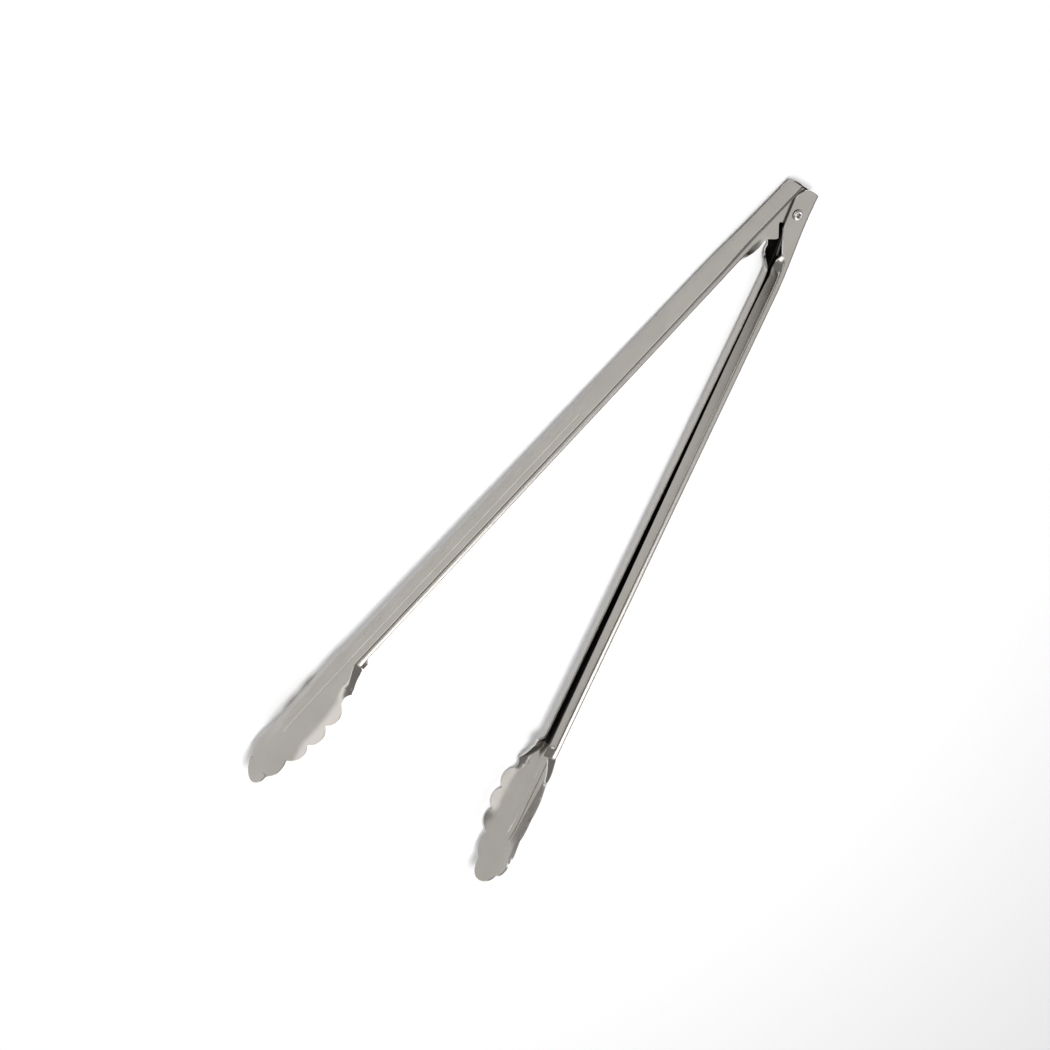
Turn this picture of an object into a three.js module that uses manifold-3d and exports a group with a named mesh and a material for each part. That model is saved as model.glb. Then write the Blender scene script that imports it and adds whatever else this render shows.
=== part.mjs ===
// Spring loaded kitchen tongs: two pressed steel arms on one rivet, pushed apart by a torsion spring.
// Millimetres, +Z up. The rivet's axis is parallel to Z and the heads point to -Y. The tongs are open.
// An arm is drawn in its own frame, with the rivet's axis at the origin: s runs from the rivet to the
// tip (along -Y), n runs outwards from the rivet to the back of the arm (along +X), and z across it.

import * as THREE from 'three';
import { LoftGeometry } from 'three/addons/geometries/LoftGeometry.js';
import { mergeVertices } from 'three/addons/utils/BufferGeometryUtils.js';
import Module from 'manifold-3d';

const wasm = await Module();
wasm.setup();

const DEGREE = Math.PI / 180;

// Overall
const pivotToTip = 391;
const openAngle = 22.4;         // between the arms at rest, degrees
const sheet = 1.0;              // thickness of the steel
const fitGap = 0.3;             // between pieces that lie against each other

// Channel section of both arms
const armWidth = 16;
const webOffset = 10.2;         // from the rivet's axis to the back of the web
const flangeDepth = 3.8;
const webBend = 1.5;            // outside radius between web and flange
const lipBend = 1.2;            // outside radius between flange and lip
const lipRoll = 73;             // how far a lip is rolled in past its flange, degrees
const lipAtEars = 7.5;
const lipAtNeck = 4.2;
const lipStart = 21.2;          // from the rivet to where the ears end and the lips begin
const lipShort = 4.2;           // how much narrower the lips are where they begin
const lipShortFade = 10;
const lipOpening = 45;          // how far a lip opens out again where it ends, degrees
const lipOpeningStart = 7.5;    // before the head
const lipOpeningLength = 5;

// Stiffening rib pressed outwards along the web
const ribStart = 141;
const ribToTip = 25;            // from the rib's nose to the tip
const ribHeight = 0.8;
const ribHalfWidth = 3.3;
const ribRunOut = 5;

// Ears of the outer arm
const outerWebAtEars = 7.4;     // the web draws in towards the rivet here
const outerWebStraight = 42;    // from the rivet to where the web is straight again
const outerEarTop = 13.4;
const outerWebEnd = 12.5;
const outerEarReach = 5.4;      // past the rivet, towards the other arm
const outerEarTaper = 0.8;      // how much less it reaches where it begins to narrow
const outerEarNarrows = 8.2;
const outerRollEnd = 34;

// Ears of the inner arm, which fit between those of the outer arm
const innerWebAtEars = 9.2;
const innerWebStraight = 50;
const innerWebEnd = 11.1;
const innerEarTop = 12.9;
const innerNotchStart = 9;
const innerNotchDepth = 4;
const innerNotchEnd = 14.6;
const innerNotchReach = 2;
const innerWidening = 19;       // from the rivet to where the arm begins to widen
const innerRollStart = 16;
const innerRollEnd = 46;

// Scalloped head
const headLength = 79.5;        // from the shoulder's root to the tip
const shoulderLength = 12.5;
const shoulderHalfWidth = 15.7;
const headHalfWidth = 17.4;     // at the roots of the scallops
const widestToTip = 45;
const scallopCount = 4;
const scallopPitch = 13;
const scallopDepth = 3.2;
const lobeLength = 8;
const shoulderDip = 0.9;
const flare = 0.42;             // slope of the head's sides
const flareStart = 4.5;         // from the shoulder's root to where the sides begin to slope
const flareBend = 1.6;
const flareFade = 29;           // length over which the sides flatten towards the tip
const scallopCurl = 0.07;       // extra inward curve of the scallops, per mm
const shoulderCurl = 0.09;      // and of the shoulders' corners
const shoulderCurlStart = 11;
const tipDrop = 7.6;            // how far the tip curves in
const tipBendLength = 40;
const flangeAtNeck = 5.8;       // depth of the edge turned in along the shoulder, at the arm
const flangeAtShoulder = 1.3;   // and at the shoulder's corner

// Rivet
const shankRadius = 1.75;
const rivetHeadRadius = 2.85;
const rivetHeadHeight = 0.95;
const rivetBore = 1.1;
const rivetBoreDepth = 2.6;

// Torsion spring
const wireRadius = 0.7;
const coilRadius = 3.5;         // to the middle of the wire
const coilTurns = 3;            // whole turns, beyond the part of a turn between the legs
const coilPitch = 1.75;
const springLegEnd = 24;        // from the rivet to the end of each leg

const innerHalfWidth = armWidth / 2 - sheet - fitGap;
const headStart = pivotToTip - headLength;
const channelEnd = headStart;
const ribNose = pivotToTip - ribToTip;

const steel = { color: 0xb9b8b4, roughness: 0.34, metalness: 1 };
const rivetSteel = { color: 0xd4d4d2, roughness: 0.2, metalness: 1 };
const springSteel = { color: 0x8c8b88, roughness: 0.38, metalness: 1 };

const mix = THREE.MathUtils.lerp;
const ramp = (value, start, end) => THREE.MathUtils.smoothstep(value, start, end);
const between = (start, end, steps) => Array.from(
  { length: steps + 1 },
  (_, i) => mix(start, end, i / steps),
);

function solid(geometry) {
  const bare = new THREE.BufferGeometry().copy(geometry);
  bare.deleteAttribute('normal');
  bare.deleteAttribute('uv');
  const merged = mergeVertices(bare, 1e-5);
  const mesh = new wasm.Mesh({
    numProp: 3,
    vertProperties: new Float32Array(merged.attributes.position.array),
    triVerts: new Uint32Array(merged.index.array),
  });
  return new wasm.Manifold(mesh);
}

function surface(body) {
  const mesh = body.getMesh();
  const geometry = new THREE.BufferGeometry();
  geometry.setAttribute('position', new THREE.BufferAttribute(mesh.vertProperties, 3));
  geometry.setIndex(new THREE.BufferAttribute(mesh.triVerts, 1));
  geometry.computeVertexNormals();
  return geometry;
}

function namedMesh(name, geometry, look) {
  const mesh = new THREE.Mesh(geometry, new THREE.MeshStandardMaterial(look));
  mesh.name = name;
  return mesh;
}

// The rib swells in at its start and ends in a round nose.
function ribHeightAt(s) {
  const nose = Math.max(0, 1 - Math.max(0, s - ribNose + ribRunOut) / ribRunOut);
  return ribHeight * ramp(s, ribStart, ribStart + ribRunOut) * Math.sqrt(nose);
}

function ribProfile(s, z) {
  const across = Math.min(1, Math.abs(z) / ribHalfWidth);
  return ribHeightAt(s) * (0.5 + 0.5 * Math.cos(Math.PI * across * across));
}

const ribSteps = [0, 0.45, 0.7, 1];

// A point on the outside of the sheet, with the heading of the sheet there: 0 runs across the web,
// 90 degrees down a flange. The inside lies one sheet thickness to the right of the heading.
const sheetPoint = (z, n, heading) => ({ z, n, heading });

function sheetSection(half, s) {
  const outside = half.map((p) => new THREE.Vector3(p.n, -s, p.z));
  const inside = half.map((p) => new THREE.Vector3(
    p.n - sheet * Math.cos(p.heading),
    -s,
    p.z - sheet * Math.sin(p.heading),
  ));
  const mirrored = (points) => points.slice(1).map((p) => new THREE.Vector3(p.x, p.y, -p.z));
  return [
    ...mirrored(outside).reverse(),
    ...outside,
    ...inside.slice().reverse(),
    ...mirrored(inside),
  ];
}

// Half of the channel's section: web with its rib, bend, flange, bend, lip.
function channelHalf(s, shape) {
  const halfWidth = shape.halfWidth(s);
  const back = shape.web(s);
  const roll = shape.roll(s);
  const bendSteps = 3;
  const points = ribSteps.map((step) => {
    const z = step * ribHalfWidth;
    return sheetPoint(z, back + ribProfile(s, z), 0);
  });
  for (let i = 0; i <= bendSteps; i += 1) {
    const turn = (i / bendSteps) * Math.PI / 2;
    const z = halfWidth - webBend * (1 - Math.sin(turn));
    points.push(sheetPoint(z, back - webBend * (1 - Math.cos(turn)), turn));
  }
  const tangent = lipBend * Math.tan(roll / 2);
  const flangeEnd = back - flangeDepth + tangent;
  for (let i = 0; i <= bendSteps; i += 1) {
    const turn = (i / bendSteps) * roll;
    const z = halfWidth - lipBend * (1 - Math.cos(turn));
    points.push(sheetPoint(z, flangeEnd - lipBend * Math.sin(turn), Math.PI / 2 + turn));
  }
  const last = points[points.length - 1];
  const lip = shape.lip(s) - tangent;
  const z = last.z - lip * Math.sin(roll);
  points.push(sheetPoint(z, last.n - lip * Math.cos(roll), last.heading));
  return points;
}

// The section shrunk to the middle of the sheet, which closes an end of a loft.
function closingSection(section) {
  const last = section.length - 1;
  return section.map((point, i) => point.clone().add(section[last - i]).multiplyScalar(0.5));
}

function loft(sections) {
  const closed = [
    closingSection(sections[0]),
    ...sections,
    closingSection(sections[sections.length - 1]),
  ];
  return solid(new LoftGeometry(closed));
}

function channel(shape) {
  return loft(shape.stations.map((s) => sheetSection(channelHalf(s, shape), s)));
}

// The lips start narrow behind the ears and taper along the arm.
function lipAt(s) {
  return mix(lipAtEars, lipAtNeck, s / channelEnd) - lipShort * Math.exp((lipStart - s) / lipShortFade);
}

// The lips roll in behind the ears and open out again before they end.
function rollAt(s, start, end) {
  const opening = channelEnd - lipOpeningStart;
  const opened = lipOpening * ramp(s, opening, opening + lipOpeningLength);
  return (lipRoll * ramp(s, start, end) - opened) * DEGREE;
}

const ribStations = between(ribStart, ribStart + ribRunOut, 3);

const neckStations = [
  ...between(channelEnd - lipOpeningStart, channelEnd - lipOpeningStart + lipOpeningLength, 3),
  channelEnd,
];

// Height of the ears before they are trimmed, measured as lip length beyond the flange.
const earBlank = 8;

const outerShape = {
  halfWidth: () => armWidth / 2,
  web: (s) => mix(outerWebAtEars, webOffset, ramp(s, -5, outerWebStraight)),
  roll: (s) => rollAt(s, lipStart, outerRollEnd),
  lip(s) {
    return s < lipStart ? this.web(s) - flangeDepth + earBlank : lipAt(s);
  },
  stations: [
    ...between(-outerEarTop - 2, lipStart - 3, 4),
    ...between(lipStart, outerRollEnd, 6),
    outerWebStraight,
    2 * outerWebStraight,
    ...ribStations,
    ...neckStations,
  ],
};

const innerShape = {
  halfWidth: (s) => mix(innerHalfWidth, armWidth / 2, ramp(s, innerWidening, innerWebStraight)),
  web: (s) => mix(innerWebAtEars, webOffset, ramp(s, -innerWebEnd, innerWebStraight)),
  roll: (s) => rollAt(s, innerRollStart, innerRollEnd),
  lip(s) {
    const fromRivet = this.web(s) - flangeDepth;
    if (s < innerNotchEnd) return fromRivet + earBlank;
    if (s >= lipStart) return lipAt(s);
    return mix(fromRivet + innerNotchReach, lipAt(s), ramp(s, innerNotchEnd, lipStart));
  },
  stations: [
    ...between(-innerEarTop - 2, innerNotchEnd - 3, 3),
    innerNotchEnd,
    ...between(innerWidening, lipStart, 1),
    ...between(24, innerRollEnd, 5),
    innerWebStraight,
    2 * innerWebStraight,
    ...ribStations,
    ...neckStations,
  ],
};

// A side profile in the plane of s and n, drawn through to both sides of the arm.
function through(outline) {
  const shape = new THREE.Shape();
  outline(shape);
  const depth = 4 * armWidth;
  const geometry = new THREE.ExtrudeGeometry(shape, { depth, bevelEnabled: false, curveSegments: 8 });
  geometry.translate(0, 0, -depth / 2);
  return solid(geometry);
}

const farSide = 4 * webOffset;

function outerEarOutline(shape) {
  const lobeCentre = (outerWebAtEars - outerEarReach) / 2;
  const lobeEnd = outerEarTop * 0.4;
  shape.moveTo(farSide, outerWebEnd);
  shape.lineTo(outerWebAtEars - 0.8, outerWebEnd);
  shape.quadraticCurveTo(lobeCentre + 3, outerEarTop, lobeCentre, outerEarTop);
  shape.bezierCurveTo(
    lobeCentre - outerEarReach * 0.6, outerEarTop,
    -outerEarReach, outerEarTop * 0.75,
    -outerEarReach, lobeEnd,
  );
  const edgeAtLip = outerShape.web(lipStart) - flangeDepth - lipAt(lipStart);
  shape.lineTo(-outerEarReach + outerEarTaper, -outerEarNarrows);
  shape.lineTo(edgeAtLip, -lipStart);
  shape.lineTo(-farSide, -lipStart);
  shape.lineTo(-farSide, -pivotToTip);
  shape.lineTo(farSide, -pivotToTip);
  shape.closePath();
}

// The flat flank behind the rivet lies along the outer arm's web when the tongs are fully open.
const stopFace = outerWebAtEars - sheet - fitGap;
const stopSine = Math.sin(openAngle * DEGREE);
const stopCosine = Math.cos(openAngle * DEGREE);
const flankReach = (s) => (stopFace + s * stopSine) / stopCosine;

function innerEarOutline(shape) {
  const flankStart = flankReach(-innerEarTop);
  const touch = Math.PI / 2 - openAngle * DEGREE;
  shape.moveTo(farSide, innerWebEnd);
  shape.lineTo(innerWebAtEars - webBend, innerWebEnd);
  shape.lineTo(0, innerEarTop);
  shape.lineTo(-flankStart + 0.6, innerEarTop);
  shape.lineTo(-flankReach(-innerEarTop + 0.6), innerEarTop - 0.6);
  shape.absarc(0, 0, stopFace, Math.PI / 2 + touch, Math.PI * 1.22, false);
  shape.lineTo(innerNotchDepth, -innerNotchStart + 0.5);
  shape.lineTo(innerNotchDepth, -innerNotchStart - 0.5);
  shape.lineTo(-innerNotchReach, -innerNotchEnd);
  shape.lineTo(-farSide, -innerNotchEnd);
  shape.lineTo(-farSide, -pivotToTip);
  shape.lineTo(farSide, -pivotToTip);
  shape.closePath();
}

function crossBore(radius, length) {
  const geometry = new THREE.CylinderGeometry(radius, radius, length, 20);
  geometry.rotateX(Math.PI / 2);
  return geometry;
}

// The roots of the scallops lie on a half ellipse that ends at the tip.
function rootHalfWidth(s) {
  const fromWidest = (s - (pivotToTip - widestToTip)) / widestToTip;
  return headHalfWidth * Math.sqrt(Math.max(0, 1 - fromWidest * fromWidest));
}

const lastRoot = pivotToTip - lobeLength;
const firstRoot = lastRoot - scallopCount * scallopPitch;
const shoulderTop = headStart + shoulderLength;

// The edge between two points, bulging by a given height at its middle (below 0 it dips).
function arcBetween(a, b, bulge) {
  return (share) => {
    const chord = Math.hypot(b.s - a.s, b.z - a.z);
    const radius = (chord * chord / 4 + bulge * bulge) / (2 * bulge);
    const x = (share - 0.5) * chord;
    const rise = Math.sign(bulge) * Math.sqrt(radius * radius - x * x) - (radius - bulge);
    const out = { s: -(b.z - a.z) / chord, z: (b.s - a.s) / chord };
    return { s: mix(a.s, b.s, share) + out.s * rise, z: mix(a.z, b.z, share) + out.z * rise };
  };
}

// The shoulder runs straight from the arm's side out to its corner.
const shoulderEdge = [0, 0.5, 1].map((share) => ({
  s: mix(headStart, shoulderTop, share),
  z: mix(armWidth / 2, shoulderHalfWidth, share),
}));

function headEdge(steps) {
  const root = (i) => {
    const s = firstRoot + i * scallopPitch;
    return { s, z: rootHalfWidth(s) };
  };
  const tongue = armWidth / 2 - webBend - 0.5;
  const shoulder = { s: shoulderTop, z: shoulderHalfWidth };
  const edge = [
    { s: headStart - 2, z: tongue },
    { s: headStart - 0.5, z: tongue },
    ...shoulderEdge,
  ];
  const addArc = (arc, count) => {
    for (let i = 1; i <= count; i += 1) edge.push(arc(0.5 - 0.5 * Math.cos(Math.PI * i / count)));
  };
  addArc(arcBetween(shoulder, root(0), -shoulderDip), 2);
  for (let i = 0; i < scallopCount; i += 1) {
    addArc(arcBetween(root(i), root(i + 1), scallopDepth), steps);
  }
  const lobeHalf = root(scallopCount).z;
  const lobeRadius = (lobeHalf * lobeHalf + lobeLength * lobeLength) / (2 * lobeLength);
  const span = Math.asin(Math.min(1, lobeHalf / lobeRadius));
  for (let i = 1; i <= steps; i += 1) {
    const turn = span * (1 - 0.97 * i / steps);
    const s = pivotToTip - lobeRadius * (1 - Math.cos(turn));
    edge.push({ s, z: lobeRadius * Math.sin(turn) });
  }
  return edge;
}

// Back of the head: it runs on from the web, its sides slope away from a fold line that closes in on
// the rib, the scallops curl in a little more, and the tip curves in.
function foldLine(s) {
  const foldStart = headStart + flareStart;
  const along = THREE.MathUtils.clamp((s - foldStart) / (ribNose - foldStart), 0, 1);
  return mix(armWidth / 2, ribHalfWidth, along);
}

function headBack(s, z) {
  const bendStart = pivotToTip - tipBendLength;
  const bent = Math.max(0, s - bendStart) / tipBendLength;
  const spine = webOffset - tipDrop * bent * bent;
  const beyond = Math.abs(z) - foldLine(s);
  const soft = Math.max(0, (beyond + Math.sqrt(beyond * beyond + flareBend * flareBend)) / 2 - flareBend / 4);
  const slope = flare * ramp(s, channelEnd, headStart + 3) * (1 - ramp(s, lastRoot - flareFade, lastRoot));
  const curled = Math.max(0, Math.abs(z) - rootHalfWidth(s) + 1);
  const curl = s > shoulderTop && s < lastRoot ? scallopCurl * curled * curled : 0;
  const cornered = Math.max(0, Math.abs(z) - shoulderCurlStart);
  const corner = shoulderCurl * cornered * cornered * (1 - ramp(s, shoulderTop, firstRoot));
  return spine - slope * soft - curl - corner + ribProfile(s, z);
}

function headHalf(s, halfWidth) {
  const foot = Math.min(ribHalfWidth, halfWidth * 0.6);
  const inner = ribSteps.map((step) => step * foot);
  const outerSteps = 4;
  for (let i = 1; i <= outerSteps; i += 1) inner.push(mix(foot, halfWidth, i / outerSteps));
  const probe = 0.05;
  return inner.map((z) => {
    const slope = z === 0 ? 0 : (headBack(s, z - probe) - headBack(s, z + probe)) / (2 * probe);
    return sheetPoint(z, headBack(s, z), Math.atan(slope));
  });
}

function head() {
  const stepsPerScallop = 5;
  const edge = headEdge(stepsPerScallop);
  const sections = edge.map(({ s, z }) => sheetSection(headHalf(s, z), s));
  return loft(sections);
}

// The flange runs on along the shoulder and dies out at its corner.
function shoulderFlanges() {
  const start = { s: headStart - 1, z: armWidth / 2 };
  const strip = (side) => [start, ...shoulderEdge].map(({ s, z }) => {
    const depth = mix(flangeAtNeck, flangeAtShoulder, Math.max(0, s - headStart) / shoulderLength);
    const top = headBack(s, z) - sheet / 3;
    const bottom = headBack(s, z) - depth;
    const corners = [[top, z - sheet], [top, z], [bottom, z], [bottom, z - sheet]];
    const ring = corners.map(([n, across]) => new THREE.Vector3(n, -s, side * across));
    return side > 0 ? ring : ring.reverse();
  });
  const caps = { capStart: true, capEnd: true };
  return solid(new LoftGeometry(strip(1), caps)).add(solid(new LoftGeometry(strip(-1), caps)));
}

function arm(name, shape, earOutline) {
  const bore = solid(crossBore(shankRadius + fitGap, 2 * armWidth));
  const folded = channel(shape).intersect(through(earOutline)).subtract(bore);
  return namedMesh(name, surface(folded.add(head()).add(shoulderFlanges())), steel);
}

// Semi-tubular rivet: a formed head below, and a rolled-over end with its bore open above.
function pivotRivet() {
  const under = armWidth / 2 + fitGap;
  const top = under + rivetHeadHeight;
  const profile = [
    [0, top - rivetBoreDepth],
    [rivetBore, top - rivetBoreDepth],
    [rivetBore, top - 0.25],
    [rivetBore + 0.3, top],
    [rivetHeadRadius - 0.75, top - 0.1],
    [rivetHeadRadius - 0.15, top - 0.45],
    [rivetHeadRadius, under + 0.2],
    [rivetHeadRadius - 0.15, under],
    [shankRadius, under],
    [shankRadius, -under],
    [rivetHeadRadius, -under],
    [rivetHeadRadius, -under - 0.35],
    [rivetHeadRadius * 0.7, -under - rivetHeadHeight * 0.85],
    [0, -under - rivetHeadHeight],
  ].map(([r, z]) => new THREE.Vector2(r, z));
  const geometry = new THREE.LatheGeometry(profile.reverse(), 20);
  geometry.rotateX(Math.PI / 2);
  return namedMesh('pivot_rivet', surface(solid(geometry)), rivetSteel);
}

// The wire runs up the inner arm's web, winds round the rivet and runs down the outer arm's web.
// side is 1 for the outer arm and -1 for the inner arm, at half the open angle from the middle.
function legEnd(side, shape, s) {
  const n = shape.web(s) - sheet - fitGap - wireRadius;
  const turn = side * openAngle / 2 * DEGREE;
  return new THREE.Vector2(side * n * Math.cos(turn) + s * Math.sin(turn) , side * n * Math.sin(turn) - s * Math.cos(turn));
}

function tangentAngle(end, side) {
  const distance = end.length();
  return Math.atan2(end.y, end.x) + side * Math.acos(coilRadius / distance);
}

class SpringWire extends THREE.Curve {
  constructor() {
    super();
    this.outerEnd = legEnd(1, outerShape, springLegEnd);
    this.innerEnd = legEnd(-1, innerShape, springLegEnd);
    this.outerTouch = tangentAngle(this.outerEnd, 1);
    this.innerTouch = tangentAngle(this.innerEnd, -1);
    const sweep = this.outerTouch - this.innerTouch;
    const whole = 2 * Math.PI;
    this.sweep = sweep - whole * (Math.ceil(sweep / whole) + coilTurns);
    this.rise = coilPitch * this.sweep / whole;
    const leg = (end, touch) => end.distanceTo(this.onCoil(touch));
    this.lengths = [
      leg(this.innerEnd, this.innerTouch),
      Math.abs(this.sweep) * coilRadius,
      leg(this.outerEnd, this.outerTouch),
    ];
  }

  onCoil(angle) {
    return new THREE.Vector2(Math.cos(angle), Math.sin(angle)).multiplyScalar(coilRadius);
  }

  getPoint(t, target = new THREE.Vector3()) {
    const total = this.lengths[0] + this.lengths[1] + this.lengths[2];
    const along = t * total;
    const coilStart = this.lengths[0];
    const coilEnd = coilStart + this.lengths[1];
    const share = THREE.MathUtils.clamp((along - coilStart) / this.lengths[1], 0, 1);
    const point = this.onCoil(this.innerTouch + this.sweep * share);
    if (along < coilStart) point.lerp(this.innerEnd, 1 - along / coilStart);
    if (along > coilEnd) point.lerp(this.outerEnd, (along - coilEnd) / this.lengths[2]);
    return target.set(point.x, point.y, this.rise * (share - 0.5));
  }
}

function torsionSpring() {
  const section = new THREE.Shape();
  section.absarc(0, 0, wireRadius, 0, 2 * Math.PI, false);
  const geometry = new THREE.ExtrudeGeometry(section, {
    extrudePath: new SpringWire(),
    steps: 84,
    curveSegments: 4,
  });
  return namedMesh('torsion_spring', surface(solid(geometry)), springSteel);
}

const outerArm = new THREE.Group();
outerArm.rotation.z = openAngle / 2 * DEGREE;
outerArm.add(arm('outer_arm', outerShape, outerEarOutline));

// The inner arm is the same way up turned over, so that its back faces the other way.
const innerArm = new THREE.Group();
innerArm.rotation.z = -openAngle / 2 * DEGREE;
const innerMesh = arm('inner_arm', innerShape, innerEarOutline);
innerMesh.rotation.y = Math.PI;
innerArm.add(innerMesh);

const tongs = new THREE.Group();
tongs.add(outerArm, innerArm, pivotRivet(), torsionSpring());

// The origin is in the middle of the tongs, at the height of their lowest point.
const bounds = new THREE.Box3().setFromObject(tongs);
const middle = bounds.getCenter(new THREE.Vector3());
tongs.position.set(-middle.x, -middle.y, -bounds.min.z);

export default tongs;
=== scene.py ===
"""Looks of a pair of spring loaded kitchen tongs: two pressed steel arms, one rivet, one torsion spring."""
import math

import bpy
import numpy as np
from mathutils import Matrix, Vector


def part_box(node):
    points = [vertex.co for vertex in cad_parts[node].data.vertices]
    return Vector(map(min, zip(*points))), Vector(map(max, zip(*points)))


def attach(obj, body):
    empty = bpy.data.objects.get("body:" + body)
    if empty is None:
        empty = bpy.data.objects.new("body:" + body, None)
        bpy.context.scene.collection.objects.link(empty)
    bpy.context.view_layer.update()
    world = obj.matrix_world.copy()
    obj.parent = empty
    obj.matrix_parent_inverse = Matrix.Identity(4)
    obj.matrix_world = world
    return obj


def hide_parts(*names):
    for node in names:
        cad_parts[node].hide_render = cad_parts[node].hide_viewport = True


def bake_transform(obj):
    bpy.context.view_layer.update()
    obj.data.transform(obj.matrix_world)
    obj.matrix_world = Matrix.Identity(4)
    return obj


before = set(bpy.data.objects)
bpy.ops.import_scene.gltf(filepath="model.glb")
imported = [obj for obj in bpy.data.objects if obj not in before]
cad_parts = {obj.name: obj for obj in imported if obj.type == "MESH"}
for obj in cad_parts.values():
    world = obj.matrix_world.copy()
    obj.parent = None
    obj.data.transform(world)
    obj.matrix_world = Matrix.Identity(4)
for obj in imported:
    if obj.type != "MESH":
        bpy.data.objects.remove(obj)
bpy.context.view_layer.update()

scene = bpy.context.scene
MM = 0.001

# The rivet's axis is where everything is measured from.
rivet_low, rivet_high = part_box("pivot_rivet")
pivot = np.array((rivet_low + rivet_high) / 2)


# --- Camera -------------------------------------------------------------------------------------
# A long lens above the inner arm's side, turned so that the rivet is at the upper right and the
# two heads spread towards the lower left.
camera_data = bpy.data.cameras.new("camera")
camera_data.lens = 96.25
camera_data.sensor_width = 36.0
camera_data.clip_end = 20.0
camera = bpy.data.objects.new("camera", camera_data)
camera.location = pivot + np.array([-0.84909, -0.01625, 1.12698])
camera.rotation_euler = [math.radians(a) for a in (-27.644, -25.362, 37.913)]
scene.collection.objects.link(camera)
scene.camera = camera


# --- The two arms -------------------------------------------------------------------------------
# Each arm is one blank of 1 mm stainless steel, cut with a scalloped head, folded into a channel
# with ears at the rivet, its lips rolled in, and a stiffening rib pressed along its back.
# Lengths are in millimetres: s from the rivet to the tip, n outwards from the rivet to the back of
# the arm, and z across it.
OPEN_ANGLE = math.radians(22.4)
TIP = 391.0
SHEET = 1.0
ARM_HALF = 8.0
WEB = 10.2
FLANGE = 3.8
WEB_BEND = 1.5
LIP_BEND = 1.2
FULL_ROLL = math.radians(73)
LIP_OPENING = math.radians(45)
LIP_START = 21.2
LIP_AT_EARS = 7.5
LIP_AT_NECK = 4.2
LIP_SHORT = 4.2
LIP_SHORT_FADE = 10
NECK = 311.5
LIP_OPENS = NECK - 7.5
LIP_OPENED = NECK - 2.5
FIT_GAP = 0.3
RIB_HALF = 3.3
RIB_HEIGHT = 0.8
RIB_START = 141.0
RIB_NOSE = 366.0
RIB_RUN_OUT = 5.0
SHOULDER = 324.0
SHOULDER_HALF = 15.7
HEAD_HALF = 17.4
WIDEST = 346.0
SCALLOPS = 4
PITCH = 13.0
SCALLOP_DEPTH = 3.2
LAST_ROOT = 383.0
FIRST_ROOT = LAST_ROOT - SCALLOPS * PITCH

# Columns of the surface across half an arm: rib, flat of the web, bend, flange, bend of the lip, lip.
ACROSS_RIB = np.linspace(0, 1, 11)
ACROSS_FLAT = np.linspace(0, 1, 11)[1:]
ACROSS_BEND = np.linspace(0, 1, 7)[1:]
ACROSS_FLANGE = np.linspace(0, 1, 4)[1:]
ACROSS_LIP_BEND = np.linspace(0, 1, 7)[1:]
ACROSS_LIP = np.linspace(0, 1, 5)[1:]


def mix(a, b, share):
    """Straight from a, at share 0, to b, at share 1."""
    return a + (b - a) * share


def ramp(value, start, end):
    """0 before start, 1 after end, and a smooth step between."""
    t = np.clip((value - start) / (end - start), 0, 1)
    return t * t * (3 - 2 * t)


def rib(s, z):
    """Height of the rib: a raised cosine across, swelling in at its start and ending in a round nose."""
    nose = np.clip(1 - np.maximum(0, s - RIB_NOSE + RIB_RUN_OUT) / RIB_RUN_OUT, 0, 1)
    height = RIB_HEIGHT * ramp(s, RIB_START, RIB_START + RIB_RUN_OUT) * np.sqrt(nose)
    across = np.minimum(1, np.abs(z) / RIB_HALF)
    return height * (0.5 + 0.5 * np.cos(np.pi * across**2))


def lip_width(s):
    """The lips taper along the arm and start narrow behind the ears."""
    return mix(LIP_AT_EARS, LIP_AT_NECK, s / NECK) - LIP_SHORT * np.exp((LIP_START - s) / LIP_SHORT_FADE)


def roll(s, start, end):
    """Angle a lip is rolled past its flange: it turns in behind the ears and opens out at its end."""
    return FULL_ROLL * ramp(s, start, end) - LIP_OPENING * ramp(s, LIP_OPENS, LIP_OPENED)


def bezier(points, count):
    """A quadratic or cubic Bezier curve through count + 1 points."""
    t = np.linspace(0, 1, count + 1)[:, None]
    order = len(points) - 1
    weights = [math.comb(order, i) * (1 - t) ** (order - i) * t**i for i in range(order + 1)]
    return sum(weight * np.array(point) for weight, point in zip(weights, points))


def polyline(*points, step=0.6):
    """Points about a step apart along straight lines that keeps every corner."""
    out = [np.array([points[0]])]
    for a, b in zip(points[:-1], points[1:]):
        count = max(1, round(math.dist(a, b) / step))
        out.append(mix(np.array(a), np.array(b), np.linspace(0, 1, count + 1)[1:, None]))
    return np.concatenate(out)


class OuterArm:
    """The arm whose ears lie outside, with a round lobe past the rivet."""

    side = 1
    web_end = -12.5
    ear_end = LIP_START
    web_at_ears = 7.4
    web_rise = (-5, 42)
    top_corner = (1.0, -13.4)
    lobe_side = (-5.4, -5.36)
    joints = [*np.linspace(LIP_START, 34, 16), 38, 42, *np.linspace(50, 134, 13)]

    def half(self, s):
        return ARM_HALF + 0 * s

    def web(self, s):
        return mix(self.web_at_ears, WEB, ramp(s, *self.web_rise))

    def roll(self, s):
        return roll(s, LIP_START, 34)

    def lip(self, s):
        return lip_width(s)

    def side_outline(self):
        """From the top of the lobe round to the lip: an arc, a slight taper, a straight edge."""
        end = float(self.web(LIP_START) - FLANGE - lip_width(LIP_START))
        lobe = bezier([self.top_corner, (-2.24, -13.4), (-5.4, -10.05), self.lobe_side], 18)
        return np.concatenate([lobe, polyline(self.lobe_side, (-4.6, 8.2), (end, LIP_START))[1:]])

    def top_outline(self):
        """The ear's edge above the rivet, from the fold to the corner of the lobe."""
        return bezier([(6.6, self.web_end), (4.0, -13.4), self.top_corner], 16)


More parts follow.
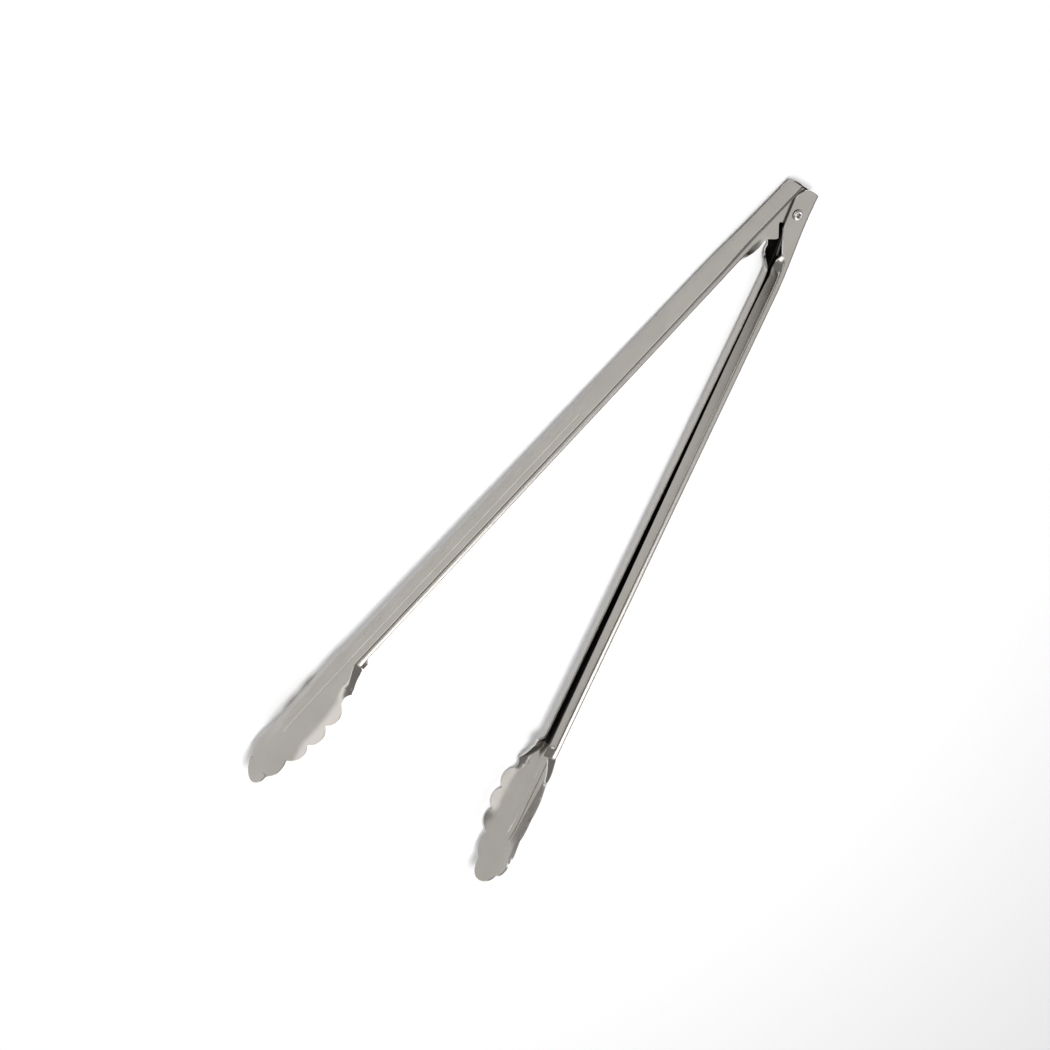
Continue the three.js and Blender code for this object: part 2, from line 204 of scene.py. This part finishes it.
class InnerArm:
    """The arm whose ears fit between the others, with a flat stop behind the rivet and a notch."""

    side = -1
    web_end = -11.1
    ear_end = 14.6
    web_at_ears = 9.2
    web_rise = (-11.1, 50)
    widening = (19, 50)
    stop = OuterArm.web_at_ears - SHEET - FIT_GAP
    top = -12.9
    chamfer = 0.6
    notch_reach = 2.0
    joints = [*np.linspace(ear_end, LIP_START, 8), *np.linspace(22.5, 46, 19), 50, *np.linspace(57, 134, 12)]

    def half(self, s):
        return mix(ARM_HALF - SHEET - FIT_GAP, ARM_HALF, ramp(s, *self.widening))

    def web(self, s):
        return mix(self.web_at_ears, WEB, ramp(s, *self.web_rise))

    def roll(self, s):
        return roll(s, 16, 46)

    def lip(self, s):
        """Behind the notch the lip narrows from the notch's end to its width along the arm."""
        to_notch = self.web(s) - FLANGE + self.notch_reach
        narrowing = mix(to_notch, lip_width(s), ramp(s, self.ear_end, LIP_START))
        return np.where(s < LIP_START, narrowing, lip_width(s))

    def flank(self, s):
        """The inside of the other arm's web, seen from this arm with the tongs open."""
        return -(self.stop + s * math.sin(OPEN_ANGLE)) / math.cos(OPEN_ANGLE)

    def side_outline(self):
        """Down the flank that stops on the other web, round the rivet, into the notch and out again."""
        turn = np.linspace(math.pi - OPEN_ANGLE, 1.22 * math.pi, 12)
        boss = self.stop * np.stack([np.cos(turn), -np.sin(turn)], axis=1)
        below = self.top + self.chamfer
        corner = (self.flank(self.top) + self.chamfer, self.top)
        flank = polyline(corner, (self.flank(below), below), tuple(boss[0]))
        notch = polyline(tuple(boss[-1]), (4.0, 8.5), (4.0, 9.5), (-self.notch_reach, self.ear_end))
        return np.concatenate([flank, boss[1:], notch[1:]])

    def top_outline(self):
        """The ear's edge above the rivet, from the fold to the corner of the flank."""
        fold = (self.web_at_ears - WEB_BEND, self.web_end)
        return polyline(fold, (0.0, self.top), (self.flank(self.top) + self.chamfer, self.top))


def channel_rows(arm, s):
    """Sections of the channel at each s: web, bend, flange, and a lip whose bend has a fixed length."""
    s = np.asarray(s, float)[:, None]
    half, back = arm.half(s), arm.web(s)
    least_turn = 1e-3
    turn = np.maximum(arm.roll(s), least_turn)
    bend_length = LIP_BEND * FULL_ROLL
    tangent = LIP_BEND * math.tan(FULL_ROLL / 2)
    slack = (2 * tangent - bend_length) * (1 - turn / FULL_ROLL)
    z_rib, z_flat = ACROSS_RIB * RIB_HALF + 0 * s, mix(RIB_HALF, half - WEB_BEND, ACROSS_FLAT)
    bend = ACROSS_BEND * np.pi / 2
    flange_end = back - FLANGE + tangent
    radius = bend_length / turn
    lip = (arm.lip(s) - tangent + slack) * ACROSS_LIP
    z_lip, n_lip = half - radius * (1 - np.cos(turn)), flange_end - radius * np.sin(turn)
    z = [
        z_rib, z_flat, half - WEB_BEND * (1 - np.sin(bend)), half + 0 * ACROSS_FLANGE,
        half - radius * (1 - np.cos(turn * ACROSS_LIP_BEND)), z_lip - lip * np.sin(turn),
    ]
    n = [
        back + rib(s, z_rib), back + rib(s, z_flat), back - WEB_BEND * (1 - np.cos(bend)),
        mix(back - WEB_BEND, flange_end, ACROSS_FLANGE),
        flange_end - radius * np.sin(turn * ACROSS_LIP_BEND), n_lip - lip * np.cos(turn),
    ]
    z, n = np.concatenate(z, axis=1), np.concatenate(n, axis=1)
    return np.stack([n, s + 0 * z, z], axis=-1)


def ear_rows(arm):
    """The ear is flat: each row runs from the fold to the ear's outline, and the first follows its top."""
    folded = len(ACROSS_RIB) + len(ACROSS_FLAT) + len(ACROSS_BEND)
    outline = arm.side_outline()[:-1]
    along = (outline[:, 1] - outline[0, 1]) / (arm.ear_end - outline[0, 1])
    s_fold = mix(arm.web_end, arm.ear_end, along)
    rows = channel_rows(arm, s_fold)
    last = channel_rows(arm, [arm.ear_end])[0]
    share = (last[folded - 1, 0] - last[folded:, 0]) / (last[folded - 1, 0] - last[-1, 0])
    n = mix(rows[:, folded - 1, 0, None], outline[:, 0, None], share)
    s = mix(s_fold[:, None], outline[:, 1, None], share)
    top = arm.top_outline()[::-1]
    bulge = np.interp(n[0], top[:, 0], top[:, 1]) - s[0]
    fade = 12
    s = s + bulge * (1 - along[:, None]) ** fade
    rows[:, folded:] = np.stack([n, s, arm.half(s)], axis=-1)
    return rows


def root_half(s):
    """The roots of the scallops lie on a half ellipse that ends at the tip."""
    return HEAD_HALF * np.sqrt(np.maximum(0, 1 - ((s - WIDEST) / (TIP - WIDEST)) ** 2))


def arc(a, b, bulge, count):
    """Circular arc from a to b, bulging by a height at its middle; the points crowd at its ends."""
    share = 0.5 - 0.5 * np.cos(np.linspace(0, np.pi, count + 1))[1:, None]
    a, b = np.array(a, float), np.array(b, float)
    chord = np.linalg.norm(b - a)
    radius = (chord**2 / 4 + bulge**2) / (2 * bulge)
    x = (share - 0.5) * chord
    rise = np.sign(bulge) * np.sqrt(radius**2 - x**2) - (radius - bulge)
    out = np.array([-(b - a)[1], (b - a)[0]]) / chord
    return mix(a, b, share) + out * rise


SHOULDER_DIP = 0.9
TIP_GAP = 0.015


def head_edge():
    """Half of the head's outline: straight shoulder, shallow dip, four scallops, round lobe at the tip."""
    root_places = [FIRST_ROOT + i * PITCH for i in range(SCALLOPS + 1)]
    roots = [(s, float(root_half(s))) for s in root_places]
    corner = np.array([SHOULDER, SHOULDER_HALF])
    shoulder = mix(np.array([NECK, ARM_HALF]), corner, np.linspace(0, 1, 19)[1:, None])
    parts = [shoulder, arc(corner, roots[0], -SHOULDER_DIP, 10)]
    parts += [arc(a, b, SCALLOP_DEPTH, 18) for a, b in zip(roots[:-1], roots[1:])]
    lobe_half, lobe = roots[-1][1], TIP - LAST_ROOT
    radius = (lobe_half**2 + lobe**2) / (2 * lobe)
    turn = math.asin(lobe_half / radius) * (1 - (1 - TIP_GAP) * np.linspace(0, 1, 25)[1:])
    parts.append(np.stack([TIP - radius * (1 - np.cos(turn)), radius * np.sin(turn)], axis=1))
    return np.concatenate(parts)


TIP_BEND = 40
TIP_DROP = 7.6
FOLD_START = NECK + 4.5
FOLD_WIDTH = 1.6
FOLD_SET = 0.4
SIDE_SLOPE = 0.42
SLOPE_RUN_IN = 3
SLOPE_RUN_OUT = 29
CURL = 0.018
CURL_WIDTH = 5
CORNER_CURL = 0.09
CORNER_START = 11


def head_back(s, z):
    """Back of the head: its sides slope away from a fold line that closes in on the rib, its tip curves
    in, and its edges curl in with the square of the distance past a line inside the scallops' roots."""
    bent = np.maximum(0, s - (TIP - TIP_BEND)) / TIP_BEND
    fold = mix(ARM_HALF, RIB_HALF, np.clip((s - FOLD_START) / (RIB_NOSE - FOLD_START), 0, 1))
    beyond = np.abs(z) - fold
    soft = np.maximum(0, (beyond + np.sqrt(beyond**2 + FOLD_WIDTH**2)) / 2 - FOLD_SET)
    fading = 1 - ramp(s, LAST_ROOT - SLOPE_RUN_OUT, LAST_ROOT)
    slope = SIDE_SLOPE * ramp(s, NECK, NECK + SLOPE_RUN_IN) * fading
    along_scallops = ramp(s, SHOULDER, FIRST_ROOT)
    curled = np.maximum(0, np.abs(z) - root_half(s) + CURL_WIDTH) * along_scallops * (s < LAST_ROOT)
    cornered = np.maximum(0, np.abs(z) - CORNER_START)
    corner = CORNER_CURL * cornered**2 * (1 - along_scallops)
    return WEB - TIP_DROP * bent**2 - slope * soft - CURL * curled**2 - corner + rib(s, z)


FLANGE_AT_NECK = 5.8
FLANGE_AT_CORNER = 1.3
BEND_SHARE = 0.8
FOOT_SHARE = 0.4


def head_rows():
    """Sections of the head. The shoulder's edge is folded down, and the fold dies out at its corner."""
    edge = head_edge()
    s, half = edge[:, :1], edge[:, 1:]
    depth = mix(FLANGE_AT_NECK, FLANGE_AT_CORNER, np.clip((s - NECK) / (SHOULDER - NECK), 0, 1))
    folded = 1 - ramp(s, SHOULDER - 3, SHOULDER + 1.5)
    bend = np.minimum(WEB_BEND, BEND_SHARE * depth)
    count = len(ACROSS_BEND) + len(ACROSS_FLANGE) + len(ACROSS_LIP_BEND)
    down = np.linspace(0, 1, len(ACROSS_FLANGE) + len(ACROSS_LIP_BEND) + 1)[1:]
    even = np.linspace(0, 1, count + 1)[1:]
    turned = np.concatenate([np.sin(ACROSS_BEND * np.pi / 2), 1 + 0 * down])
    drop = [bend * (1 - np.cos(ACROSS_BEND * np.pi / 2)), mix(bend, depth, down)]
    foot = np.minimum(RIB_HALF, half * FOOT_SHARE)
    width = half - foot
    flat_end = half - mix(width * count / (count + len(ACROSS_FLAT)), bend, folded)
    z = [ACROSS_RIB * foot, mix(foot, flat_end, ACROSS_FLAT), mix(flat_end, half, mix(even, turned, folded))]
    z = np.concatenate(z, axis=1)
    n = head_back(s, z)
    n[:, -count:] -= folded * np.concatenate(drop, axis=1)
    spare = len(ACROSS_LIP)
    z, n = (np.concatenate([x, np.repeat(x[:, -1:], spare, axis=1)], axis=1) for x in (z, n))
    return np.stack([n, s + 0 * z, z], axis=-1)


def arm_grid(arm):
    """The outside of the sheet as rows of points (n, s, z), and which of its faces there are."""
    rib_start = np.linspace(RIB_START, RIB_START + RIB_RUN_OUT, 7)
    middle = np.concatenate([rib_start, np.linspace(160, 296, 12)])
    neck = np.linspace(LIP_OPENS, NECK, 13)
    channel = channel_rows(arm, [*arm.joints, *middle, *neck])
    half = np.concatenate([ear_rows(arm), channel, head_rows()])
    kept = np.ones((len(half) - 1, half.shape[1] - 1), bool)
    kept[-len(head_rows()):, -len(ACROSS_LIP):] = False
    mirrored = half[:, :0:-1] * np.array([1, 1, -1])
    return np.concatenate([mirrored, half], axis=1), np.concatenate([kept[:, ::-1], kept], axis=1)


def unit(v):
    """Each vector divided by its length."""
    return v / np.maximum(np.linalg.norm(v, axis=-1, keepdims=True), 1e-12)


def sheet_normals(points):
    """Outward normals of a grid, from its slopes along and across."""
    along, across = np.gradient(points, axis=0), np.gradient(points, axis=1)
    return unit(np.cross(along, across))


def shell_faces(kept, shape):
    """Quads of a closed sheet: outside, inside, and a rim wherever a kept face ends."""
    rows, columns = shape
    index = np.arange(rows * columns).reshape(rows, columns)
    a, b, c, d = index[:-1, :-1], index[:-1, 1:], index[1:, 1:], index[1:, :-1]
    outside = np.stack([a, b, c, d], axis=-1)[kept]
    inside = outside[:, ::-1] + rows * columns
    around = np.pad(kept, 1)
    rims = []
    for i, j, p, q in ((-1, 0, a, b), (0, 1, b, c), (1, 0, c, d), (0, -1, d, a)):
        beside = around[1 + i:rows + i, 1 + j:columns + j]
        first, second = p[kept & ~beside], q[kept & ~beside]
        rims.append(np.stack([second, first, first + rows * columns, second + rows * columns], axis=1))
    return outside, inside, np.concatenate(rims)


def add_piece(name, vertices, faces, materials, material_index, uv, sharp=40):
    """A mesh piece in metres, smooth except at edges sharper than an angle in degrees."""
    used, faces = np.unique(faces, return_inverse=True)
    faces = faces.reshape(-1, 4)
    mesh = bpy.data.meshes.new(name)
    mesh.from_pydata(vertices[used].tolist(), [], faces.tolist())
    layer = mesh.uv_layers.new(name="sheet")
    layer.data.foreach_set("uv", uv[used][faces.ravel()].astype(np.float32).ravel())
    for material in materials:
        mesh.materials.append(material)
    mesh.polygons.foreach_set("material_index", material_index.astype(np.int32))
    mesh.shade_smooth()
    mesh.set_sharp_from_angle(angle=math.radians(sharp))
    piece = bpy.data.objects.new(name, mesh)
    scene.collection.objects.link(piece)
    return piece


def in_place(points, side):
    """From an arm's (n, s, z) to metres in the frame. The inner arm is turned over about its length."""
    n, s, z = points[..., 0], points[..., 1], points[..., 2]
    local = np.stack([side * n, -s, side * z], axis=-1)
    turn = side * OPEN_ANGLE / 2
    c, k = math.cos(turn), math.sin(turn)
    rotation = np.array([[c, -k, 0], [k, c, 0], [0, 0, 1]])
    return pivot + MM * local @ rotation.T


STREAK_STRETCH = 0.04
STREAK_SCALE = 3200.0
CLOUD_SCALE = 70.0
STREAK_SHARE = 0.45
PATTERN_LOW = 0.35
PATTERN_HIGH = 1.05
DARKEST = 0.9
LIGHTEST = 1.06
GRAIN_DEPTH = 0.00003


def steel(name, base, roughness, grain):
    """Rolled stainless steel: streaks along the sheet, soft clouds and a fine grain in the surface."""
    material = bpy.data.materials.new(name)
    material.use_nodes = True
    nodes, links = material.node_tree.nodes, material.node_tree.links
    shader = nodes["Principled BSDF"]
    shader.inputs["Metallic"].default_value = 1.0
    place = nodes.new("ShaderNodeUVMap")
    place.uv_map = "sheet"
    stretch = nodes.new("ShaderNodeMapping")
    stretch.inputs["Scale"].default_value = (STREAK_STRETCH, 1.0, 1.0)
    links.new(place.outputs["UV"], stretch.inputs["Vector"])
    streaks = nodes.new("ShaderNodeTexNoise")
    streaks.inputs["Scale"].default_value = STREAK_SCALE
    streaks.inputs["Detail"].default_value = 3.0
    links.new(stretch.outputs["Vector"], streaks.inputs["Vector"])
    where = nodes.new("ShaderNodeTexCoord")
    clouds = nodes.new("ShaderNodeTexNoise")
    clouds.inputs["Scale"].default_value = CLOUD_SCALE
    clouds.inputs["Detail"].default_value = 4.0
    links.new(where.outputs["Object"], clouds.inputs["Vector"])
    both = nodes.new("ShaderNodeMath")
    both.operation = "MULTIPLY_ADD"
    both.inputs[1].default_value = STREAK_SHARE
    links.new(streaks.outputs["Fac"], both.inputs[0])
    links.new(clouds.outputs["Fac"], both.inputs[2])
    colour = nodes.new("ShaderNodeMapRange")
    colour.data_type = "FLOAT_VECTOR"
    colour.inputs[7].default_value = [PATTERN_LOW] * 3
    colour.inputs[8].default_value = [PATTERN_HIGH] * 3
    colour.inputs[9].default_value = [DARKEST * c for c in base]
    colour.inputs[10].default_value = [LIGHTEST * c for c in base]
    links.new(both.outputs[0], colour.inputs[6])
    links.new(colour.outputs[1], shader.inputs["Base Color"])
    rough = nodes.new("ShaderNodeMapRange")
    rough.inputs["From Min"].default_value = PATTERN_LOW
    rough.inputs["From Max"].default_value = PATTERN_HIGH
    rough.inputs["To Min"].default_value = roughness - 0.06
    rough.inputs["To Max"].default_value = roughness + 0.08
    links.new(both.outputs[0], rough.inputs["Value"])
    links.new(rough.outputs["Result"], shader.inputs["Roughness"])
    bump = nodes.new("ShaderNodeBump")
    bump.inputs["Strength"].default_value = grain
    bump.inputs["Distance"].default_value = GRAIN_DEPTH
    links.new(streaks.outputs["Fac"], bump.inputs["Height"])
    links.new(bump.outputs["Normal"], shader.inputs["Normal"])
    return material


def pressed_arm(name, arm, body, node):
    """One arm from its grid, with the sheet's thickness laid on the inside."""
    points, kept = arm_grid(arm)
    normals = sheet_normals(points)
    across = np.cumsum(np.linalg.norm(np.diff(points, axis=1, prepend=points[:, :1]), axis=-1), axis=1)
    middle = across[:, across.shape[1] // 2, None]
    uv = MM * np.stack([points[..., 1], across - middle], axis=-1)
    inside = points - SHEET * normals
    vertices = np.concatenate([in_place(layer, arm.side).reshape(-1, 3) for layer in (points, inside)])
    outside_faces, inside_faces, rim_faces = shell_faces(kept, points.shape[:2])
    faces = np.concatenate([outside_faces, inside_faces, rim_faces])
    # Inside faces short of the neck get painted shade: near-black steel standing in for the dark hollow of
    # the channel.
    painted_shade_faces = points[..., 1].ravel()[inside_faces[:, 0] - points[..., 0].size] < NECK - 2
    # Each face's material: rolled steel outside, cut edges with a painted highlight, painted shade inside
    # the channel.
    finish_and_painted_light = np.concatenate([np.zeros(len(outside_faces)), 2 * painted_shade_faces, np.ones(len(rim_faces))])
    uv = np.concatenate([uv.reshape(-1, 2)] * 2)
    piece = add_piece(name, vertices, faces, [rolled_steel, cut_edge_and_highlight, painted_shade_channel], finish_and_painted_light, uv)
    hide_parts(node)
    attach(piece, body)


rolled_steel = steel("rolled_steel", (0.36, 0.343, 0.318), 0.2, 0.25)
# The sheet's cut edges are lighter than the rolled steel: partly bare sheared metal, partly a painted
# highlight for the glint of their rounded corners.
cut_edge_and_highlight = steel("cut_edge_and_highlight", (0.62, 0.61, 0.58), 0.2, 0.1)
# Near-black steel for the inside of the channel: painted shade, not a colour the sheet has.
painted_shade_channel = steel("painted_shade_channel", (0.13, 0.125, 0.12), 0.42, 0.25)
pressed_arm("outer_arm_pressing", OuterArm(), "outer_arm_body", "outer_arm")
pressed_arm("inner_arm_pressing", InnerArm(), "inner_arm_body", "inner_arm")


# --- The rivet ----------------------------------------------------------------------------------
# A semi-tubular steel rivet through all four ears: a low domed head below, and above an end whose
# bore is still open, rolled over into a bright ring.
RIVET_SEAT = ARM_HALF + FIT_GAP
RIVET_TOP = RIVET_SEAT + 0.95
RIVET_PROFILE = [
    (0.0, RIVET_TOP - 2.6), (0.9, RIVET_TOP - 2.6), (1.1, RIVET_TOP - 2.4), (1.1, RIVET_TOP - 0.45),
    (1.22, RIVET_TOP - 0.15), (1.5, RIVET_TOP), (1.9, RIVET_TOP - 0.03), (2.3, RIVET_TOP - 0.16),
    (2.65, RIVET_TOP - 0.42), (2.83, RIVET_TOP - 0.68), (2.8, RIVET_SEAT + 0.08), (2.7, RIVET_SEAT),
    (1.75, RIVET_SEAT), (1.75, -RIVET_SEAT), (2.72, -RIVET_SEAT), (2.85, -RIVET_SEAT - 0.12),
    (2.82, -RIVET_SEAT - 0.36), (2.5, -RIVET_SEAT - 0.6), (1.9, -RIVET_SEAT - 0.8),
    (1.0, -RIVET_SEAT - 0.92), (0.0, -RIVET_SEAT - 0.95),
]


def turned(profile, count=72):
    """A profile (radius, height) turned round the rivet's axis: radius times (cos, sin) of each angle."""
    radius, height = np.array(profile).T
    angle = np.linspace(0, 2 * np.pi, count, endpoint=False)
    x = radius[:, None] * np.cos(angle)
    y = radius[:, None] * np.sin(angle)
    grid = np.stack([x, y, height[:, None] + 0 * angle], -1)
    rows = len(profile)
    index = np.arange(rows * count).reshape(rows, count)
    index[0], index[-1] = index[0, 0], index[-1, 0]
    ahead = np.roll(index, -1, axis=1)
    faces = np.stack([index[:-1], index[1:], ahead[1:], ahead[:-1]], -1).reshape(-1, 4)
    return pivot + MM * grid.reshape(-1, 3), faces


def clean_faces(faces):
    """Quads as lists, with a corner that is written twice, as at a pole, written once."""
    return [list(dict.fromkeys(face)) for face in faces.tolist()]


def add_solid(name, vertices, faces, material, sharp=50):
    """A closed piece whose poles are triangles."""
    mesh = bpy.data.meshes.new(name)
    used, inverse = np.unique(faces, return_inverse=True)
    mesh.from_pydata(vertices[used].tolist(), [], clean_faces(inverse.reshape(-1, 4)))
    mesh.materials.append(material)
    mesh.shade_smooth()
    mesh.set_sharp_from_angle(angle=math.radians(sharp))
    piece = bpy.data.objects.new(name, mesh)
    scene.collection.objects.link(piece)
    return piece


def plain_steel(name, base, roughness, scale):
    """Bare steel without a direction: its colour and roughness vary a little in small clouds."""
    material = bpy.data.materials.new(name)
    material.use_nodes = True
    nodes, links = material.node_tree.nodes, material.node_tree.links
    shader = nodes["Principled BSDF"]
    shader.inputs["Metallic"].default_value = 1.0
    where = nodes.new("ShaderNodeTexCoord")
    clouds = nodes.new("ShaderNodeTexNoise")
    clouds.inputs["Scale"].default_value = scale
    clouds.inputs["Detail"].default_value = 5.0
    links.new(where.outputs["Object"], clouds.inputs["Vector"])
    tint = nodes.new("ShaderNodeValToRGB")
    tint.color_ramp.elements[0].position = 0.3
    tint.color_ramp.elements[0].color = (*[0.8 * c for c in base], 1)
    tint.color_ramp.elements[1].position = 0.7
    tint.color_ramp.elements[1].color = (*base, 1)
    links.new(clouds.outputs["Fac"], tint.inputs["Fac"])
    links.new(tint.outputs["Color"], shader.inputs["Base Color"])
    rough = nodes.new("ShaderNodeMapRange")
    rough.inputs["To Min"].default_value = roughness - 0.08
    rough.inputs["To Max"].default_value = roughness + 0.08
    links.new(clouds.outputs["Fac"], rough.inputs["Value"])
    links.new(rough.outputs["Result"], shader.inputs["Roughness"])
    return material


rivet_vertices, rivet_faces = turned(RIVET_PROFILE)
rivet_steel = plain_steel("rivet_steel", (0.8, 0.79, 0.77), 0.2, 900)
rivet = add_solid("rolled_rivet", rivet_vertices, rivet_faces, rivet_steel)
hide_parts("pivot_rivet")
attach(rivet, "outer_arm_body")


# --- The spring ---------------------------------------------------------------------------------
# A torsion spring of 1.4 mm steel wire, wound round the rivet between the ears, with one straight
# leg along the inside of each web.
WIRE = 0.7
COIL = 3.5
COIL_TURNS = 3
COIL_PITCH = 1.75
LEG_END = 24.0
END_ROUNDING = 0.12
END_SHARE = 0.82


def leg_end(arm):
    """Where a leg ends, just inside its arm's web."""
    n = float(arm.web(LEG_END)) - SHEET - FIT_GAP - WIRE
    turn = arm.side * OPEN_ANGLE / 2
    return np.array([
        arm.side * n * math.cos(turn) + LEG_END * math.sin(turn),
        arm.side * n * math.sin(turn) - LEG_END * math.cos(turn),
    ])


def spring_path():
    """Inner leg, coil and outer leg: tangents of a circle joined by a helix, as points in millimetres."""
    inner, outer = leg_end(InnerArm()), leg_end(OuterArm())
    inner_touch = math.atan2(inner[1], inner[0]) - math.acos(COIL / np.linalg.norm(inner))
    outer_touch = math.atan2(outer[1], outer[0]) + math.acos(COIL / np.linalg.norm(outer))
    sweep = outer_touch - inner_touch
    sweep -= 2 * math.pi * (math.ceil(sweep / (2 * math.pi)) + COIL_TURNS)
    rise = COIL_PITCH * sweep / (2 * math.pi)
    share = np.linspace(0, 1, 241)
    angle = inner_touch + sweep * share
    coil = np.stack([COIL * np.cos(angle), COIL * np.sin(angle), rise * (share - 0.5)], axis=1)
    steps = np.linspace(0, 1, 24, endpoint=False)[:, None]
    first = mix(np.array([*inner, -rise / 2]), coil[0], steps)
    last = mix(np.array([*outer, rise / 2]), coil[-1], steps)[::-1]
    return np.concatenate([first, coil, last]), rise


def wire_along(path, sides=16):
    """A round wire along a path: rings across its direction, closed to a slightly rounded end."""
    ahead = unit(np.gradient(path, axis=0))
    beside = unit(np.cross(np.array([0, 0, 1.0]), ahead))
    up = np.cross(ahead, beside)
    path = np.concatenate([path[:1], path[:1], path, path[-1:], path[-1:]])
    path[2] += END_ROUNDING * ahead[0]
    path[-3] -= END_ROUNDING * ahead[-1]
    radius = np.full(len(path), WIRE)
    radius[[0, -1]] = 0
    radius[[1, -2]] = END_SHARE * WIRE
    beside, up = (np.concatenate([v[:1], v[:1], v, v[-1:], v[-1:]]) for v in (beside, up))
    angle = np.linspace(0, 2 * np.pi, sides, endpoint=False)[:, None]
    ring = np.cos(angle) * beside[:, None] + np.sin(angle) * up[:, None]
    grid = path[:, None] + radius[:, None, None] * ring
    index = np.arange(len(path) * sides).reshape(len(path), sides)
    index[0], index[-1] = index[0, 0], index[-1, 0]
    beyond = np.roll(index, -1, axis=1)
    faces = np.stack([index[:-1], beyond[:-1], beyond[1:], index[1:]], -1).reshape(-1, 4)
    return pivot + MM * grid.reshape(-1, 3), faces


spring_points, spring_rise = spring_path()
spring_vertices, spring_faces = wire_along(spring_points)
spring_wire = plain_steel("spring_wire", (0.42, 0.41, 0.4), 0.34, 500)
spring = add_solid("spring_coil", spring_vertices, spring_faces, spring_wire)
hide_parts("torsion_spring")
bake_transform(spring)


# --- Table and light ----------------------------------------------------------------------------
# A pale table top that the heads' scallops and the rivet's lower head rest on. A key light on the
# inner arm's side and one overhead light the table, and four panels are there for the steel alone
# to reflect.
REST_HEAD = -0.146
REST_RIVET = pivot[1]
TABLE_GAP = 0.0002
rivet_foot = rivet_low[2]


def table_top(size=3.0):
    """A flat square, tilted a little so that it touches the heads and the rivet's foot."""
    slope = rivet_foot / (REST_RIVET - REST_HEAD)
    corners = np.array([[-size, -size], [size, -size], [size, size], [-size, size]])
    height = slope * (corners[:, 1] - REST_HEAD) - TABLE_GAP
    mesh = bpy.data.meshes.new("table_top")
    mesh.from_pydata(np.column_stack([corners, height]).tolist(), [], [[0, 1, 2, 3]])
    return bpy.data.objects.new("table_top", mesh)


def soft_light(name, place, aim, size, power, spread=180, mirrored=True, on_table=True):
    """A rectangular soft box that faces a point. A narrow spread keeps its light near that point, and it
    may be kept out of the steel's reflections, or light the steel but not the table."""
    data = bpy.data.lights.new(name, "AREA")
    data.shape = "RECTANGLE"
    data.size, data.size_y = size
    data.energy = power
    data.spread = math.radians(spread)
    light = bpy.data.objects.new(name, data)
    light.location = place
    light.rotation_euler = (Vector(aim) - Vector(place)).to_track_quat("-Z", "Y").to_euler()
    light.visible_glossy = mirrored
    light.visible_diffuse = on_table
    scene.collection.objects.link(light)


table = table_top()
scene.collection.objects.link(table)
table_white = bpy.data.materials.new("table_white")
table_white.use_nodes = True
table_shader = table_white.node_tree.nodes["Principled BSDF"]
table_shader.inputs["Base Color"].default_value = (0.9, 0.9, 0.9, 1)
table_shader.inputs["Roughness"].default_value = 0.7
table.data.materials.append(table_white)

soft_light("key_light", (-0.65, 0.0, 1.65), (0, 0, 0), (0.5, 0.5), 3.9, spread=70, mirrored=False)
soft_light("table_light", (0.0, 0.0, 2.2), (0, 0, 0), (1.6, 1.6), 11.0, mirrored=False)
soft_light("side_panel", (1.1, 0.2, 1.44), (0, 0.15, 0), (0.9, 0.9), 2.0, on_table=False)
soft_light("tip_panel", (1.2, -0.75, 1.3), (0.05, -0.12, 0), (0.9, 0.9), 10.5, on_table=False)
soft_light("low_panel", (-1.8, -0.2, 0.38), (0, -0.1, 0.02), (2.2, 0.7), 8.0, on_table=False)
soft_light("top_panel", (0.1, -0.1, 2.2), (0, -0.1, 0), (0.8, 0.8), 3.0, on_table=False)
world = bpy.data.worlds.new("room")
scene.world = world
world.use_nodes = True
world.node_tree.nodes["Background"].inputs["Color"].default_value = (1, 1, 1, 1)
world.node_tree.nodes["Background"].inputs["Strength"].default_value = 0.38
scene.view_settings.view_transform = "Standard"
